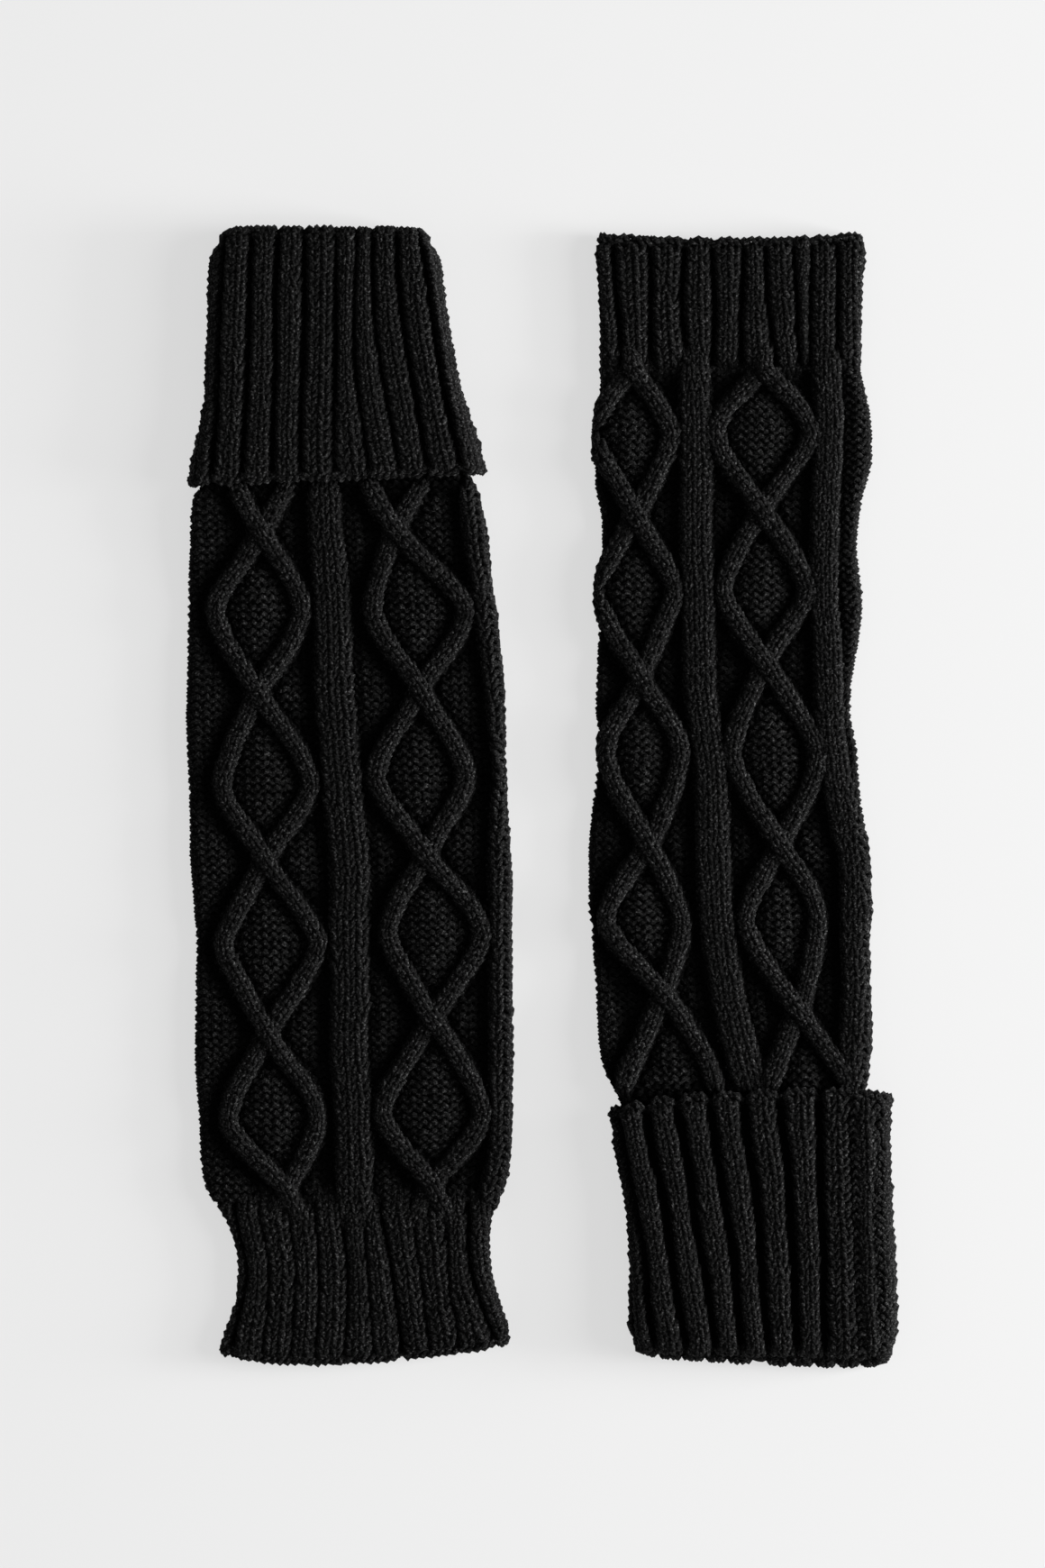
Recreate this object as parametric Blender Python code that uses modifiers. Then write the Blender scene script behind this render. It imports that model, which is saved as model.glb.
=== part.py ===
# A pair of cable-knit leg warmers, laid flat side by side on a surface.
# Each one is three knitted stretches in a row: a long cabled leg tube, a short ribbed end that is
# left plain, and a long ribbed end that is turned back over the leg as a cuff. Laid out, each tube
# lies flat with its front panel on its back panel, so the cuff stands four walls high.
# Y runs along the legs and X across them. The left one has its cuff at +Y, the right one at -Y.
# All sizes are in millimetres up to the last step, which makes the meshes in metres.
import bpy
import numpy as np

MM = 0.001
WALL = 3.0              # thickness of the knitted cloth
PANEL_GAP = 1.0         # air between the front and the back panel of a tube
LAYER_GAP = 0.5         # air between a turned cuff and the tube inside it
SEAM_GAP = 0.3          # between two knitted stretches where they join
CUFF_COVER = 8.0        # how far inside the cuff's hem the leg tube ends
COLLAR = 2.0            # straight length of each stretch where it meets the next one
INNER_ROWS = 5          # sections of the hidden tube inside a cuff
FOLD_STEPS = 6          # steps round the turned edge of a cuff
FLAT_STEPS = 6          # steps across a panel, between its two rolled edges
ARC_STEPS = 6           # steps round each rolled edge
RAMP = 46.0             # length over which a leg climbs from the surface into its cuff

LAYER = WALL + LAYER_GAP                       # how far a cuff lies outside the tube in it
TUBE_HEIGHT = 2.0 * WALL + PANEL_GAP           # of a flat tube, outside
CUFF_HEIGHT = TUBE_HEIGHT + 2.0 * LAYER        # of a cuff, outside

# Outlines: a row for each section, as (along the leg, left edge, right edge).
# The rows of a cuff run from its hem to its fold, the others from +Y to -Y.
LEFT_CUFF = [
    (112.2, -126.1, -19.5),
    (123.2, -124.8, -22.1),
    (132.8, -122.2, -25.3),
    (142.4, -120.3, -28.2),
    (155.2, -119.7, -30.7),
    (174.4, -119.0, -33.6),
    (190.4, -118.7, -35.5),
    (196.8, -117.1, -36.8),
    (201.6, -114.9, -38.7),
]
LEFT_LEG = [
    (112.6, -122.0, -24.6),
    (108.6, -122.4, -23.6),
    (104.5, -123.9, -22.4),
    (97.6, -124.8, -20.8),
    (88.0, -125.4, -18.9),
    (76.2, -125.8, -17.0),
    (64.3, -126.1, -15.4),
    (40.6, -126.4, -13.1),
    (27.2, -126.7, -12.5),
    (12.2, -126.1, -11.8),
    (-2.9, -125.1, -11.2),
    (-17.6, -123.8, -10.9),
    (-33.3, -122.9, -10.6),
    (-63.4, -123.2, -10.9),
    (-93.4, -122.9, -10.6),
    (-108.8, -121.3, -10.9),
    (-123.8, -119.7, -11.2),
    (-132.8, -118.7, -12.5),
    (-138.9, -117.4, -13.8),
    (-142.7, -115.5, -15.7),
]
LEFT_END = [
    (-142.7, -115.5, -15.7),
    (-147.8, -112.3, -17.9),
    (-154.6, -109.8, -18.4),
    (-161.6, -108.2, -18.6),
    (-169.3, -107.7, -17.9),
    (-176.6, -108.5, -16.3),
    (-184.0, -111.0, -14.1),
    (-190.4, -113.6, -11.8),
    (-195.4, -114.6, -12.3),
]
RIGHT_END = [
    (195.6, 17.9, 115.5),
    (191.0, 18.6, 114.9),
    (182.7, 19.5, 114.1),
    (174.4, 19.8, 113.6),
    (160.0, 20.2, 113.3),
    (151.4, 20.2, 113.3),
]
RIGHT_LEG = [
    (151.4, 20.2, 113.3),
    (145.6, 18.9, 114.6),
    (137.6, 17.6, 116.2),
    (129.6, 17.0, 116.8),
    (117.8, 17.3, 116.8),
    (107.0, 18.9, 113.6),
    (99.8, 20.8, 112.3),
    (88.0, 20.8, 111.4),
    (80.0, 19.2, 112.3),
    (72.6, 18.2, 113.3),
    (64.3, 18.9, 113.6),
    (55.0, 19.5, 112.3),
    (40.6, 19.5, 109.8),
    (28.8, 19.5, 109.4),
    (17.6, 19.5, 110.4),
    (4.5, 19.4, 113.0),
    (-6.4, 17.9, 115.2),
    (-18.2, 16.6, 116.8),
    (-40.6, 16.6, 117.4),
    (-63.4, 18.9, 117.4),
    (-86.1, 20.2, 116.8),
    (-93.4, 21.8, 116.5),
    (-101.1, 24.6, 116.0),
    (-107.2, 28.0, 116.0),
]
RIGHT_CUFF = [
    (-108.5, 23.4, 124.5),
    (-115.2, 24.5, 124.2),
    (-123.8, 25.6, 123.8),
    (-136.0, 27.8, 124.2),
    (-146.6, 29.4, 124.5),
    (-158.4, 30.1, 125.3),
    (-169.0, 30.7, 126.1),
    (-187.2, 30.1, 126.7),
    (-194.0, 30.9, 125.6),
    (-199.7, 33.0, 122.6),
]

# How each hem or fold lies, in millimetres: "tilt" is how much further its right corner reaches
# towards +Y than its left one, "bow" how far its middle reaches past its corners, away from the
# leg, and "slip" how far the back panel reaches past the front one.
LEFT_HEM = {"tilt": 4.0, "bow": 0.0, "slip": 0.0}
LEFT_FOLD = {"tilt": 0.0, "bow": 0.0, "slip": 0.0}
LEFT_EDGE = {"tilt": 1.9, "bow": 5.6, "slip": 0.0}
RIGHT_EDGE = {"tilt": 0.6, "bow": 3.8, "slip": 0.0}
RIGHT_HEM = {"tilt": 5.0, "bow": -3.9, "slip": 0.0}
RIGHT_FOLD = {"tilt": 0.0, "bow": 0.0, "slip": 5.0}
STRAIGHT = {"tilt": 0.0, "bow": 0.0, "slip": 0.0}

YARN_COLOUR = (0.0095, 0.0098, 0.011, 1.0)     # near-black brushed acrylic
YARN_ROUGHNESS = 0.9


def edges_at(rows, y):
    """The left and right edge of an outline at y, by straight lines between its rows."""
    table = np.array(sorted(rows))
    return np.interp(y, table[:, 0], table[:, 1]), np.interp(y, table[:, 0], table[:, 2])


def ring(y, left, right, bottom, top, lie):
    """One closed flat ring on the middle of the wall: two straight panels and two half-round
    edges. The outline and the heights given are the cloth's outer surface."""
    half = WALL / 2.0
    radius = (top - bottom) / 2.0 - half
    x0, x1 = left + half + radius, right - half - radius
    middle = (bottom + top) / 2.0
    across = np.linspace(x0, x1, FLAT_STEPS + 1)
    turn = np.linspace(-np.pi / 2.0, np.pi / 2.0, ARC_STEPS + 1)[1:-1]
    x = np.concatenate([across, x1 + radius * np.cos(turn), across[::-1], x0 - radius * np.cos(turn)])
    z = np.concatenate([
        np.full(len(across), middle - radius),
        middle + radius * np.sin(turn),
        np.full(len(across), middle + radius),
        middle - radius * np.sin(turn),
    ])
    side = (2.0 * x - left - right) / (right - left)
    away = np.sign(y)
    rise = (z - middle) / radius
    y = y + lie["tilt"] * side / 2.0 + away * lie["bow"] * (1.0 - side ** 2)
    y = y - away * lie["slip"] * rise / 2.0
    return np.stack([x, y, z], axis=1)


def blend(first, last, share):
    """The way a hem lies, fading from one end of a piece to the other."""
    return {key: first[key] * (1.0 - share) + last[key] * share for key in first}


def tube_rings(rows, first, last, lifts):
    """The rings of a plain flat tube. lifts holds each ring's height over the surface."""
    share = np.linspace(0.0, 1.0, len(rows)) ** 2 if last is not STRAIGHT else None
    rings = []
    for i, (y, left, right) in enumerate(rows):
        s = share[i] if share is not None else 1.0 - (1.0 - i / (len(rows) - 1)) ** 2
        rings.append(ring(y, left, right, lifts[i], lifts[i] + TUBE_HEIGHT, blend(first, last, s)))
    return rings


def with_collar(rows, at_start):
    """The rows with the outline of the first or last one repeated, a collar's length inwards."""
    ordered = list(rows) if at_start else list(rows)[::-1]
    y, left, right = ordered[0]
    inwards = np.sign(ordered[1][0] - y)
    ordered.insert(1, (y + inwards * COLLAR, left, right))
    return ordered if at_start else ordered[::-1]


def cuff_rings(rows, hem, fold):
    """The rings of a turned cuff: down its outer layer from hem to fold, round the fold, and back
    along the tube inside it to the seam with the leg."""
    away = np.sign(rows[0][0])
    fold_y = rows[-1][0]
    half_turn = LAYER / 2.0
    turn_y = fold_y - away * (half_turn + WALL / 2.0)
    seam_y = rows[0][0] + away * CUFF_COVER
    rings = []
    outer = [row for row in rows if away * (turn_y - row[0]) > 1.0]
    for y, left, right in outer:
        share = ((y - rows[0][0]) / (turn_y - rows[0][0])) ** 2
        rings.append(ring(y, left, right, 0.0, CUFF_HEIGHT, blend(hem, fold, share)))
    for angle in np.linspace(0.0, np.pi, FOLD_STEPS + 1):
        inset = half_turn * (1.0 - np.cos(angle))
        y = turn_y + away * half_turn * np.sin(angle)
        left, right = edges_at(rows, y + away * WALL / 2.0 * np.sin(angle))
        rings.append(ring(y, left + inset, right - inset, inset, CUFF_HEIGHT - inset, fold))
    for y in np.linspace(turn_y, seam_y, INNER_ROWS)[1:]:
        left, right = edges_at(rows, y)
        share = (y - turn_y) / (seam_y - turn_y)
        lie = blend(fold, STRAIGHT, 1.0 - (1.0 - share) ** 2)
        rings.append(ring(y, left + LAYER, right - LAYER, LAYER, CUFF_HEIGHT - LAYER, lie))
    rings[-1:] = [rings[-1] + [0.0, away * COLLAR, 0.0], rings[-1]]
    return rings


def leg_rings(rows, cuff):
    """The rings of a leg tube: its own rows, and one more that meets the tube inside the cuff."""
    away = np.sign(cuff[0][0])
    seam_y = cuff[0][0] + away * CUFF_COVER
    left, right = edges_at(cuff, seam_y)
    hidden = [(seam_y - away * SEAM_GAP, left + LAYER, right - LAYER)]
    rows = hidden + rows if away > 0 else rows + hidden
    rows = with_collar(with_collar(rows, True), False)
    climb = 1.0 - (away * (cuff[0][0] - np.array([row[0] for row in rows]))) / RAMP
    climb = np.clip(climb * 1.12, 0.0, 1.0)
    lifts = LAYER * climb ** 2 * (3.0 - 2.0 * climb)
    return tube_rings(rows, STRAIGHT, STRAIGHT, lifts)


def end_rings(rows, edge):
    """The rings of a plain ribbed end, held clear of the leg at their seam."""
    seam_first = abs(rows[0][0]) < abs(rows[-1][0])
    rows = list(rows)
    at = 0 if seam_first else -1
    y, left, right = rows[at]
    rows[at] = (y + np.sign(y) * SEAM_GAP, left, right)
    rows = with_collar(rows, seam_first)
    flat = [0.0] * len(rows)
    if seam_first:
        return tube_rings(rows, STRAIGHT, edge, flat)
    return tube_rings(rows, edge, STRAIGHT, flat)


def knitted_piece(name, rings, centre, collection):
    """A loft through the rings, as an open tube that Solidify gives its wall."""
    points = (np.concatenate(rings) - centre) * MM
    count = len(rings[0])
    faces = []
    for i in range(len(rings) - 1):
        for j in range(count):
            k = (j + 1) % count
            faces.append((i * count + j, i * count + k, (i + 1) * count + k, (i + 1) * count + j))
    mesh = bpy.data.meshes.new(name)
    mesh.from_pydata(points.tolist(), [], faces)
    mesh.update()
    mesh.shade_smooth()
    mesh.set_sharp_from_angle(angle=np.radians(50.0))
    piece = bpy.data.objects.new(name, mesh)
    collection.objects.link(piece)

    wall = piece.modifiers.new("Wall", "SOLIDIFY")
    wall.thickness = WALL * MM
    wall.offset = 0.0
    wall.use_even_offset = True
    wall.use_rim = True
    wall.use_quality_normals = True

    material = bpy.data.materials.new(name + "_yarn")
    material.use_nodes = True
    shader = material.node_tree.nodes["Principled BSDF"]
    shader.inputs["Base Color"].default_value = YARN_COLOUR
    shader.inputs["Roughness"].default_value = YARN_ROUGHNESS
    shader.inputs["Metallic"].default_value = 0.0
    mesh.materials.append(material)
    return piece


def main():
    for old in list(bpy.data.objects):
        bpy.data.objects.remove(old, do_unlink=True)
    collection = bpy.data.collections.new("LegWarmers")
    bpy.context.scene.collection.children.link(collection)

    pieces = {
        "left_cuff": cuff_rings(LEFT_CUFF, LEFT_HEM, LEFT_FOLD),
        "left_leg": leg_rings(LEFT_LEG, LEFT_CUFF),
        "left_end": end_rings(LEFT_END, LEFT_EDGE),
        "right_end": end_rings(RIGHT_END, RIGHT_EDGE),
        "right_leg": leg_rings(RIGHT_LEG, RIGHT_CUFF),
        "right_cuff": cuff_rings(RIGHT_CUFF, RIGHT_HEM, RIGHT_FOLD),
    }
    points = np.concatenate([np.concatenate(rings) for rings in pieces.values()])
    centre = (points.min(axis=0) + points.max(axis=0)) / 2.0
    centre[2] = 0.0
    for name, rings in pieces.items():
        knitted_piece(name, rings, centre, collection)


main()
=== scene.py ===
import bpy
import numpy as np
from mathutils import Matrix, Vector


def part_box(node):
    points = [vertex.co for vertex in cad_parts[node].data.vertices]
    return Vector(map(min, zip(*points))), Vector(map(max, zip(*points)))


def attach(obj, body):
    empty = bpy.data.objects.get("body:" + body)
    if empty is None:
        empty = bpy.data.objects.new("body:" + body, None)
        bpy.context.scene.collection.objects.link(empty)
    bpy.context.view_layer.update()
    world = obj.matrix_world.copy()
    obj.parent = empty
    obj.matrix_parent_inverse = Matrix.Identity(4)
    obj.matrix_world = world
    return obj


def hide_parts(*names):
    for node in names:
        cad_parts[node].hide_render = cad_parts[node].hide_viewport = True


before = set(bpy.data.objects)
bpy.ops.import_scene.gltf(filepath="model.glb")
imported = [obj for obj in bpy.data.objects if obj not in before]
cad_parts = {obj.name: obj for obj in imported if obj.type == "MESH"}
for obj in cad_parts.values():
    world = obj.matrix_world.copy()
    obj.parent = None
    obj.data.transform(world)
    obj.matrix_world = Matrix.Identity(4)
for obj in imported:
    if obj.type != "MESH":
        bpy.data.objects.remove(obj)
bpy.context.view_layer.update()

# A pair of chunky cable-knit leg warmers lying flat. Every knitted stretch is a thin cloth wall with
# its ribs and cables as relief, and over it the yarn itself: one tube for each course of stitches.
# Lengths below are in millimetres, x across the pair and y along it, until makeMesh turns them to metres.
mm = 0.001
pi = np.pi

# What all the knitting shares
cloth = {
    "wall": 3.0,          # the solids' own wall
    "layer": 3.5,         # how far a cuff lies outside the tube in it
    "tube": 3.5,          # half the height of a flat tube
    "cuff": 7.0,          # half the height of a cuff
    "sink": 1.15,         # how far the cloth's face lies below the middle of its yarn
    "lipSink": 0.9,       # the share of that sink that hems and folds do without
    "thinnest": 2.35,     # the deepest a gutter may cut into the wall
    "pressed": 1.5,       # how far the relief is pressed in on the underside
    "lip": 1.9,           # how far a hem's or fold's middle line lies inside the solid's end
    "past": 1.2,          # how far a seam end reaches past the solid's, so that no floor shows through
    "halfRound": 110.0,   # half the way round a tube, as the drawn stitches count it
    "inside": 0.75,       # how light the inner faces are
}
hemTurn = cloth["wall"] / 2.0                        # the radius that a hem turns with
foldTurn = (cloth["wall"] + cloth["layer"]) / 2.0    # the radius that a cuff's fold turns with

# Stitches: loop is a loop's height in courses, spread how far its legs lean out, depth how far the legs
# stand before the heads, shingle how far a course lies over the one below it, dive how deep a course's two
# ends go in, dim how light the deepest yarn is, narrowest and shortest the least of it that is made.
# From loopUneven on, the values are the spread of the seeded unevenness
knitStitch = {
    "loop": 1.55, "spread": 0.33, "depth": 0.85, "shingle": 0.45, "dim": 0.4, "dive": 2.0,
    "samples": 8, "sides": 5, "narrowest": 0.3,
    "loopUneven": 0.06, "courseUneven": 0.04, "widthUneven": 0.05, "thickUneven": 0.04,
    "aside": (0.15, 0.11), "proud": (0.18, 0.1),     # of a whole course, and of each point
}
purlStitch = {
    "wale": 3.5, "course": 2.9, "radius": 0.98,
    "loop": 1.5, "spread": 0.2, "depth": 0.9, "shingle": 0.2, "dim": 0.25,
    "samples": 8, "sides": 4, "shortest": 4,
    "loopUneven": 0.06, "thickUneven": 0.05, "aside": 0.2, "proud": 0.12,
    "drift": 1.3, "driftLength": 60.0, "sway": 0.6, "swayLength": 23.0,
}


def outlineOf(node, lowMargin, highMargin):
    # The solid's edges are cut by level planes 2 mm apart; the outermost cuts are its outline there
    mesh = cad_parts[node].data
    points = np.empty(len(mesh.vertices) * 3)
    mesh.vertices.foreach_get("co", points)
    points = points.reshape(-1, 3) / mm
    ends = np.empty(len(mesh.edges) * 2, int)
    mesh.edges.foreach_get("vertices", ends)
    a, b = points[ends[0::2]], points[ends[1::2]]
    levels = np.arange(points[:, 1].min() + lowMargin, points[:, 1].max() - highMargin, 2.0)
    rows = []
    for level in levels:
        cut = (a[:, 1] - level) * (b[:, 1] - level) < 0
        share = (level - a[cut, 1]) / (b[cut, 1] - a[cut, 1])
        at = a[cut] + (b[cut] - a[cut]) * share[:, None]
        rows.append((at[:, 0].min(), at[:, 0].max(), at[:, 2].min(), at[:, 2].max()))
    left, right, low, high = np.array(rows).T
    return {"y": levels, "left": left, "right": right, "mid": (low + high) / 2.0}


def makeChart(node, piece):
    # A chart says where a point of a flat tube is. From the piece's values: ends are the lowest and highest
    # y, a number for a hem or fold, "seam" for an end that reaches past the solid's, "own" for the solid's.
    # lies is how each end is laid: (tilt, bow, power, slip, skew) as right end further up, middle further out
    # with so square a curve, back panel further out, and the bow more at the left. edges is how far inside
    # the outline the yarn's middle lies, left and right, corners is how each end's corners are rounded off:
    # (inset, length), and strays is how the soft side edges wander from the solid's: (y, left, right)
    chart = outlineOf(node, *piece["margins"])
    y, left, right = np.array(piece["strays"]).T
    chart["left"] = chart["left"] + np.interp(chart["y"], y, left)
    chart["right"] = chart["right"] + np.interp(chart["y"], y, right)
    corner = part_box(node)
    ends = []
    for kind, out in ((0, -1.0), (1, 1.0)):
        given = piece["ends"][kind]
        if given in ("seam", "own"):
            ends.append(corner[kind][1] / mm + out * cloth["past"] * (given == "seam"))
        else:
            ends.append(given - out * cloth["lip"])
    mouths = [foldTurn if kind == piece["fold"] else hemTurn for kind in (0, 1)]
    chart.update(ends=ends, mouths=mouths, starts=(ends[0] + mouths[0], ends[1] - mouths[1]))
    chart.update({key: piece[key] for key in ("radius", "lies", "corners", "edges")})
    return chart


def widthAt(chart, v):
    # Middle line, half width and half of the straight part of a panel. A quarter circle rounds each corner
    left = np.interp(v, chart["y"], chart["left"])
    right = np.interp(v, chart["y"], chart["right"])
    half = (right - left) / 2.0
    low, high = chart["starts"]
    for (inset, length), distance in zip(chart["corners"], (v - low, high - v)):
        half = half - inset * (1.0 - np.sqrt(1.0 - np.clip(1.0 - distance / length, 0.0, 1.0) ** 2))
    return (left + right) / 2.0, half, half - chart["radius"]


def placeOn(chart, s, v, height):
    # s runs round the tube from the middle of its top, v along it, height out of the cloth.
    # The section is two straight panels and two half circles; past a hem's start, v goes round the hem.
    # The lie of each end fades with the square of the way to the other
    s, v, height = np.broadcast_arrays(np.asarray(s, float), np.asarray(v, float), np.asarray(height, float))
    low, high = chart["starts"]
    inside = np.clip(v, low, high)
    middle, half, flat = widthAt(chart, inside)
    radius = chart["radius"]
    turn = np.where(v > high, chart["mouths"][1], chart["mouths"][0])
    past = v - inside
    angle = np.clip(past / turn, -pi, pi)
    beyond = past - angle * turn
    reach = radius - turn + (turn + height) * np.cos(angle)
    along = inside + (turn + height) * np.sin(angle) - beyond
    away = np.abs(s)
    phi = np.clip((away - flat) / radius, 0.0, pi)
    back = np.clip(away - flat - pi * radius, 0.0, None)
    x = np.minimum(away, flat) - back + reach * np.sin(phi)
    x = middle + np.sign(s) * x
    z = np.interp(inside, chart["y"], chart["mid"]) + reach * np.cos(phi)
    side = np.clip((x - middle) / half, -1.0, 1.0)
    share = (inside - low) / (high - low)
    for lie, weight, out in zip(chart["lies"], ((1.0 - share) ** 2, share ** 2), (-1.0, 1.0)):
        tilt, bow, power, slip, skew = lie
        under = (1.0 - np.cos(phi)) / 2.0 * np.clip(0.8 + 0.3 * side, 0.0, 1.1)
        bulge = bow * (1.0 - np.abs(side) ** power) * (1.0 - skew * side)
        along = along + weight * (tilt * side / 2.0 + out * bulge + out * slip * under)
    return np.stack([x, along, z], axis=-1)


def sideShare(chart, s, v):
    # 1 at the middle of the rolled side edges, falling to 0 where the flat panels begin
    middle, half, flat = widthAt(chart, np.clip(v, *chart["starts"]))
    share = np.sin(np.clip((np.abs(s) - flat) / chart["radius"], 0.0, pi)) ** 2
    return share * (1.0 - lipShare(chart, v))


def sideLimit(chart, s, v, height):
    # At the side edges what stands proud is pressed down, so that the yarn keeps to the outline
    edge = np.where(s < 0.0, *chart["edges"])
    return height - sideShare(chart, s, v) * np.maximum(height + edge, 0.0)


def lipShare(chart, v):
    # 0 along the face of a tube, rising to 1 where its cloth turns over at a hem or fold
    low, high = chart["starts"]
    past = np.maximum((low - v) / chart["mouths"][0], (v - high) / chart["mouths"][1])
    return np.sin(np.clip(past, 0.0, pi / 2.0)) ** 2


def lightAt(height):
    # How much light reaches a height: all of it on the raised bands, hardly any in the deepest gutters
    # This share is painted into the colours of the yarn and cloth, as painted shade
    return np.clip((height + 2.3) / 2.1, 0.0, 1.0)


def acrossAt(chart, x, v):
    # The s of a point seen from above at x: straight on the panel, an arc sine on the rolled edge
    middle, half, flat = widthAt(chart, v)
    off = x - middle
    over = np.clip((np.abs(off) - flat) / chart["radius"], 0.0, 1.0)
    return np.sign(off) * (np.minimum(np.abs(off), flat) + chart["radius"] * np.arcsin(over))


def makeMesh(name, points, faces, sizes, uv, lift):
    # points in millimetres; faces is one flat row of corners, sizes the corners of each face
    mesh = bpy.data.meshes.new(name)
    mesh.vertices.add(len(points))
    mesh.vertices.foreach_set("co", (points * mm).astype(np.float32).ravel())
    mesh.loops.add(len(faces))
    mesh.loops.foreach_set("vertex_index", faces.astype(np.int32))
    mesh.polygons.add(len(sizes))
    mesh.polygons.foreach_set("loop_start", (np.cumsum(sizes) - sizes).astype(np.int32))
    mesh.update(calc_edges=True)
    layer = mesh.uv_layers.new(name="thread", do_init=False)
    layer.uv.foreach_set("vector", uv.astype(np.float32).ravel())
    # lift carries painted light to the material: the share of the colour left unshaded
    mesh.attributes.new("lift", "FLOAT", "POINT").data.foreach_set("value", lift.astype(np.float32))
    mesh.shade_smooth()
    mesh.validate()
    piece = bpy.data.objects.new(name, mesh)
    bpy.context.scene.collection.objects.link(piece)
    return piece


def clothWall(name, chart, relief, profile, columns):
    # A closed wall: the profile, a closed row of (v, depth, relief share), is carried round the ring.
    # The ring is sampled evenly; depth goes into the cloth, and the relief stands out of it
    v, depth, share = np.array(profile).T
    middle, half, flat = widthAt(chart, np.clip(v, *chart["starts"]))
    whole = 2.0 * flat + pi * chart["radius"]
    ring = np.arange(columns) / columns * 2.0 - 1.0
    s = ring[:, None] * whole[None, :]
    s = np.where(np.abs(s) >= whole, whole * 0.99999 * np.sign(s), s)     # just short of the far side's seam
    along = np.broadcast_to(v, s.shape)
    stands = relief(s, along)
    # painted shade: the face is painted darker where its relief lies low, and the inner faces evenly darker
    bright = np.where(share > 0.0, lightAt(stands), cloth["inside"])
    sink = cloth["sink"] * (1.0 - cloth["lipSink"] * lipShare(chart, along))
    proud = np.clip(sideLimit(chart, s, along, stands) - sink, -cloth["thinnest"], None)
    points = placeOn(chart, s, v[None, :], proud * share - depth)
    points[..., 2] = np.maximum(points[..., 2], 0.0)
    rows = len(v)
    i, j = np.meshgrid(np.arange(columns), np.arange(rows), indexing="ij")
    i2, j2 = (i + 1) % columns, (j + 1) % rows
    quads = np.stack([i * rows + j, i2 * rows + j, i2 * rows + j2, i * rows + j2], axis=-1).reshape(-1, 4)
    along = np.concatenate([[0.0], np.cumsum(np.abs(np.diff(v)) + np.abs(np.diff(depth)))])
    ends = np.append(along, along[-1] + 1.0)
    u0, u1 = ring[i] * cloth["halfRound"], (ring[i] + 2.0 / columns) * cloth["halfRound"]
    v0, v1 = ends[j], ends[j + 1]
    uv = np.stack([u0, v0, u1, v0, u1, v1, u0, v1], axis=-1).reshape(-1, 2)
    return makeMesh(name, points.reshape(-1, 3), quads.ravel(), np.full(len(quads), 4), uv, bright.ravel())


def yarnTubes(name, chart, rows, sides):
    # rows holds s, v, height, radius, lift and run for every ring of every tube in turn. A ring of
    # sides points stands square to the yarn; rings of one run are joined, and its two ends closed
    s, v, height, radius, lift, run = rows
    centre = placeOn(chart, s, v, height)
    out = placeOn(chart, s, v, height + 1.0) - centre
    same = run[1:] == run[:-1]
    after = np.arange(len(s))
    before = after.copy()
    after[:-1][same] += 1
    before[1:][same] -= 1
    way = centre[after] - centre[before]
    way /= np.maximum(np.linalg.norm(way, axis=1, keepdims=True), 1e-9)
    side = np.cross(way, out)
    side /= np.maximum(np.linalg.norm(side, axis=1, keepdims=True), 1e-9)
    up = np.cross(side, way)
    theta = 2.0 * pi * np.arange(sides) / sides + pi / 2.0
    points = centre[:, None, :] + radius[:, None, None] * (
        np.cos(theta)[None, :, None] * side[:, None, :] + np.sin(theta)[None, :, None] * up[:, None, :])
    points[..., 2] = np.maximum(points[..., 2], 0.02)      # never through the floor
    step = np.linalg.norm(np.diff(centre, axis=0), axis=1)
    along = np.concatenate([[0.0], np.cumsum(step)])

    ring = np.flatnonzero(np.append(same, False))
    k = np.arange(sides)
    k2 = (k + 1) % sides
    a = ring[:, None] * sides
    b = after[ring][:, None] * sides
    quads = np.stack([a + k, b + k, b + k2, a + k2], axis=-1).reshape(-1, 4)
    turn0 = np.broadcast_to(k / sides, (len(ring), sides))
    turn1 = turn0 + 1.0 / sides
    u0 = np.broadcast_to(along[ring][:, None], turn0.shape)
    u1 = np.broadcast_to(along[after[ring]][:, None], turn0.shape)
    quadUv = np.stack([u0, turn0, u1, turn0, u1, turn1, u0, turn1], axis=-1).reshape(-1, 2)
    firsts = np.flatnonzero(before == np.arange(len(s)))
    lasts = np.flatnonzero(after == np.arange(len(s)))
    caps = np.concatenate([firsts[:, None] * sides + k, lasts[:, None] * sides + k[::-1]])
    capUv = np.zeros((caps.size, 2))
    faces = np.concatenate([quads.ravel(), caps.ravel()])
    sizes = np.concatenate([np.full(len(quads), 4), np.full(len(caps), sides)])
    uv = np.concatenate([quadUv, capUv])
    return makeMesh(name, points.reshape(-1, 3), faces, sizes, uv, np.repeat(lift, sides))


def joinRows(parts):
    # Several sets of tube rows as one, with the runs numbered on
    joined = [np.concatenate(column) for column in zip(*[part[:5] for part in parts])]
    shift = 0
    runs = []
    for part in parts:
        runs.append(part[5] + shift)
        shift += part[5].max() + 1
    return (*joined, np.concatenate(runs))


def wobble(a, b, size, seed):
    # A slow unevenness: five crossed sine waves of about the given size, with seeded directions
    random = np.random.default_rng(seed)
    total = 0.0
    for _ in range(5):
        angle, phase, pitch = random.uniform(0.0, 2.0 * pi, 2).tolist() + [size * random.uniform(0.6, 1.7)]
        total = total + np.sin(2.0 * pi * (a * np.cos(angle) + b * np.sin(angle)) / pitch + phase)
    return total / 5.0


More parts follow.
